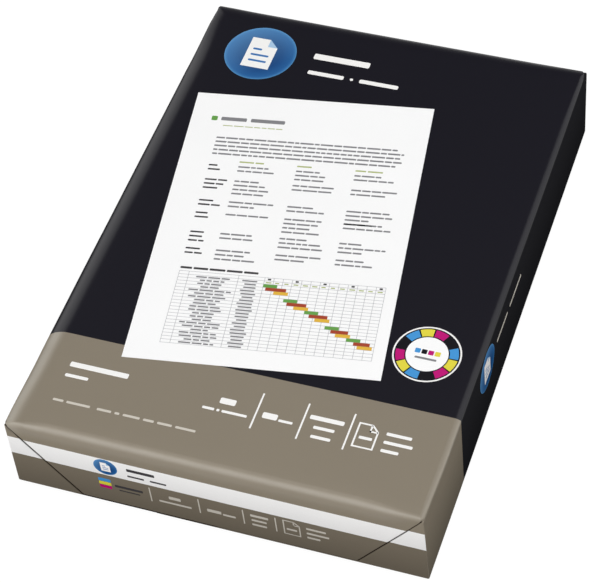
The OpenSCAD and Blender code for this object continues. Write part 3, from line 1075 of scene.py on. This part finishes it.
def makeSeal(p):
    store = []
    middle = p["middle"]
    rings = [roundOutlines([(*middle, radius)], 120)[0] for radius in p["ring"]]
    addStroke(store, rings[1], rings[0], 0, "whiteInk")
    turn = 360 / p["count"]
    for k in range(p["count"]):
        begin = turn * k + p["gapTurn"] / 2
        lines = [arcLine(middle, radius, begin, begin + turn - p["gapTurn"], 14) for radius in p["blocks"]]
        addStroke(store, lines[1], lines[0], 0, p["inks"][k % len(p["inks"])], closed=False)
    addFilms(store, roundOutlines([(*middle, p["disc"])], 96), 0, "pageWhite")
    shift = np.array([*middle, *middle])
    for k, inkName in enumerate(p["inks"]):
        along = p["squarePitch"] * k
        addBars(store, shift + p["square"] + [along, 0, along, 0], 0.4, 1, inkName)
    addBars(store, shift + p["bar"], 0.4, 1, "greyText")
    printPiece("seal_print", store, topPanel, inks)


makeSeal(seal)


def plainWords(words, thick):
    # each word as a plain bar from left to right, thick mm high on its foot line
    left, right, foot = np.array(words, float).T
    return stack(left, foot, right, foot + thick)


def addPictogram(store, box, stroke, corner, layer, inkName):
    # a sheet in outline with its upper right corner turned down
    left, low, right, high = box
    outer = [[left, low], [right, low], [right, high - corner], [right - corner, high], [left, high]]
    slant = stroke * (math.sqrt(2) - 1)
    inset = np.array([[1, 1], [-1, 1], [-1, 0], [0, -1], [1, -1]]) * stroke
    inset[2, 1], inset[3, 0] = -slant, -slant
    addStroke(store, outer, outer + inset, layer, inkName)
    foot, side = high - corner - stroke, right - corner - stroke
    bars = [[side, foot, right - stroke / 2, foot + stroke], [side, foot, side + stroke, high - stroke / 2]]
    addBars(store, bars, 0.05, layer, inkName)


# Heading, slogan row and the row of specifications on the pale band.
band = {
    "bars": [(-85.6, -109.9, -55.2, -107.0), (-85.6, -116.1, -73.6, -114.3)],
    "slogan": [(-85.6, -80.2), (-78.6, -66.4), (-62.8, -55.4), (-53.6, -51.2), (-49.4, -40.8), (-39.0, -33.6),
               (-31.8, -24.4), (-22.6, -12.4)],
    "sloganFoot": -131.0,
    "sloganThick": 1.3,
    "dividers": (11.6, 34.45, 57.3),
    "dividerSpan": (-121.8, -100.7),
    "dividerHalf": 0.425,
    "words": [  # thickness and corners of the bars, then the left, right and foot of each
        (3.4, 0.7, [(-7.4, 0.5, -111.6), (14.9, 22.3, -114.4)]),
        (2.4, 0.6, [(37.0, 53.9, -109.0)]),
        (1.4, 0.4, [(-14.4, -8.4, -116.5), (-7.2, -5.8, -116.5), (-4.6, 8.0, -116.5), (23.2, 30.2, -114.6)]),
        (1.7, 0.5, [(40.3, 50.7, -114.0), (40.6, 50.4, -119.3), (74.6, 86.9, -108.7), (74.6, 88.6, -113.5),
                    (74.6, 83.2, -118.3)]),
        (1.6, 0.4, [(62.6, 69.0, -113.7)]),
    ],
    "sheet": (60.4, -118.8, 71.0, -104.6),
    "sheetStroke": 0.85,
    "sheetCorner": 3.6,
}


def addDividers(store, p, inkName):
    low, high = p["dividerSpan"]
    rules = [[x - p["dividerHalf"], low, x + p["dividerHalf"], high] for x in p["dividers"]]
    addBars(store, rules, 0.2, 0, inkName)


def makeBand(p):
    store = []
    addBars(store, p["bars"], 0.6, 0, "whiteInk")
    slogan = [(left, right, p["sloganFoot"]) for left, right in p["slogan"]]
    addBars(store, plainWords(slogan, p["sloganThick"]), 0.4, 0, "bandInk")
    addDividers(store, p, "whiteInk")
    for thick, corner, words in p["words"]:
        addBars(store, plainWords(words, thick), corner, 0, "whiteInk")
    addPictogram(store, p["sheet"], p["sheetStroke"], p["sheetCorner"], 0, "whiteInk")
    printPiece("band_print", store, topPanel, inks)


makeBand(band)

# The same things, smaller, on the folded end.
endFace = {
    "round": (-54.1, 30.8, 6.1),
    "bars": [(-43.0, 31.4, -28.7, 33.6), (-43.2, 26.9, -34.6, 28.2), (-31.6, 26.9, -23.2, 28.2)],
    "chip": (-59.6, 12.2, -53.2, 20.6),
    "chipGap": 0.3,
    "chipBars": [(-51.4, 15.4, -36.8, 17.2), (-49.6, 12.8, -38.6, 13.7)],
    "dividers": (-32.9, -7.9, 14.6, 30.9),
    "dividerSpan": (10.4, 22.0),
    "dividerHalf": 0.3,
    "words": [(-23.3, -17.3, 16.0, 2.31), (-28.8, -12.2, 12.0, 1.375), (-4.0, 3.2, 13.4, 2.31),
              (4.0, 10.4, 13.0, 1.43), (18.3, 27.3, 18.2, 1.76), (18.6, 26.2, 14.6, 1.43),
              (18.6, 26.0, 10.9, 1.43), (46.2, 56.0, 18.2, 1.43), (46.2, 57.3, 14.4, 1.43),
              (46.2, 52.7, 10.9, 1.43), (36.2, 41.4, 14.2, 1.32)],  # left, right, foot and thickness
    "sheet": (34.6, 10.4, 43.1, 22.0),
    "sheetStroke": 0.6,
    "sheetCorner": 2.8,
}


def makeEnd(p):
    store = []
    addRoundel(store, *p["round"], 0)
    addBars(store, p["bars"], 0.4, 0, "darkText")
    left, low, right, high = p["chip"]
    third = (high - low) / 3
    for k, inkName in enumerate(("magenta", "yellow", "cyan")):
        addBars(store, [[left, low + third * k + p["chipGap"], right, low + third * (k + 1)]], 0.4, 0, inkName)
    addBars(store, p["chipBars"], 0.4, 0, "darkText")
    addDividers(store, p, "bandInk")
    for *word, thick in p["words"]:
        addBars(store, plainWords([word], thick), 0.35, 0, "bandInk")
    addPictogram(store, p["sheet"], p["sheetStroke"], p["sheetCorner"], 0, "bandInk")
    printPiece("end_print", store, endPanel, inks)


makeEnd(endFace)

# Round mark and heading on the right long side.
sideFace = {"round": (-47.0, 33.6, 12.3), "words": [(-29.5, -10.5, 32.4), (-6.5, 14.5, 32.4)], "wordThick": 1.7}


def makeSide(p):
    store = []
    addRoundel(store, *p["round"], 0)
    addBars(store, plainWords(p["words"], p["wordThick"]), 0.6, 0, "bandInk")
    printPiece("side_print", store, sidePanel, inks)


makeSide(sideFace)
print("print laid on")

# Floor, lamps and world, in metres.
studio = {
    "floorSize": 12.0,
    "floorDrop": 0.0001,
    "floorBounce": 0.25,
    "floorSeen": 0.12,
    "floorGlow": 0.93,
    "lampDistance": 1.6,
    "lampAim": (0.0, 0.0, 0.025),
    "lamps": {  # where each stands, its size and its light
        "frontLamp": ((-0.18, -0.93, 0.28), 1.45, 23.8),
        "leftLamp": ((-0.84, 0.46, 0.28), 1.3, 7.0),
        "rightLamp": ((0.70, 0.38, 0.60), 1.9, 18.9),
    },
    "skyStrength": 1.0,
    "skyStops": [(0.0, 0.34), (0.35, 0.20), (0.6, 0.05), (0.86, 0.10), (1.0, 2.38)],  # by the height's sine
}


def makeFloor(p):
    # pale floor: the camera and the gloss see it white with the pack's soft shadow, other light a plain grey
    half, level = p["floorSize"] / 2, -p["floorDrop"]
    mesh = bpy.data.meshes.new("floor")
    corners = [(-half, -half, level), (half, -half, level), (half, half, level), (-half, half, level)]
    mesh.from_pydata(corners, [], [(0, 1, 2, 3)])
    material = bpy.data.materials.new("floor")
    material.use_nodes = True
    tree = material.node_tree
    tree.nodes.clear()

    def shader(kind, *values):
        # a shader with its first inputs set or linked
        node = tree.nodes.new(kind)
        for value, socket in zip(values, node.inputs):
            feed(tree, value, socket)
        return node.outputs[0]

    path = tree.nodes.new("ShaderNodeLightPath")
    seen = mathNode(tree, "MAXIMUM", path.outputs["Is Camera Ray"], path.outputs["Is Glossy Ray"])
    seen = mathNode(tree, "MAXIMUM", seen, path.outputs["Is Transmission Ray"])
    bounce, lit = (shader("ShaderNodeBsdfDiffuse", (p[k],) * 3 + (1.0,)) for k in ("floorBounce", "floorSeen"))
    glow = shader("ShaderNodeEmission", (1.0, 1.0, 1.0, 1.0), p["floorGlow"])
    mix = shader("ShaderNodeMixShader", seen, bounce, shader("ShaderNodeAddShader", lit, glow))
    tree.links.new(mix, tree.nodes.new("ShaderNodeOutputMaterial").inputs[0])
    mesh.materials.append(material)
    putInScene("floor", mesh)


def makeLamp(name, direction, size, power, p):
    # a square soft lamp that faces the pack's middle
    lamp = bpy.data.lights.new(name, "AREA")
    lamp.shape = "SQUARE"
    lamp.size, lamp.energy = size, power
    back = unit(direction)
    side = unit(np.cross([0, 0, 1], back))
    putInScene(name, lamp, (side, np.cross(back, side), back), back * p["lampDistance"] + p["lampAim"])


def makeSky(p):
    # a plain studio room: pale round the horizon, dim above it and bright overhead
    world = bpy.data.worlds.new("room")
    bpy.context.scene.world = world
    world.use_nodes = True
    tree = world.node_tree
    background = tree.nodes["Background"]
    background.inputs["Strength"].default_value = p["skyStrength"]
    parts = tree.nodes.new("ShaderNodeSeparateXYZ")
    tree.links.new(tree.nodes.new("ShaderNodeTexCoord").outputs["Generated"], parts.inputs[0])
    sky = rampNode(tree, parts.outputs["Z"], [(place, (level,) * 3 + (1.0,)) for place, level in p["skyStops"]])
    tree.links.new(sky, background.inputs["Color"])


makeFloor(studio)
for lampName, (direction, size, power) in studio["lamps"].items():
    makeLamp(lampName, direction, size, power, studio)
makeSky(studio)
bpy.context.scene.view_settings.view_transform = "Standard"
print("floor, lamp and world set")
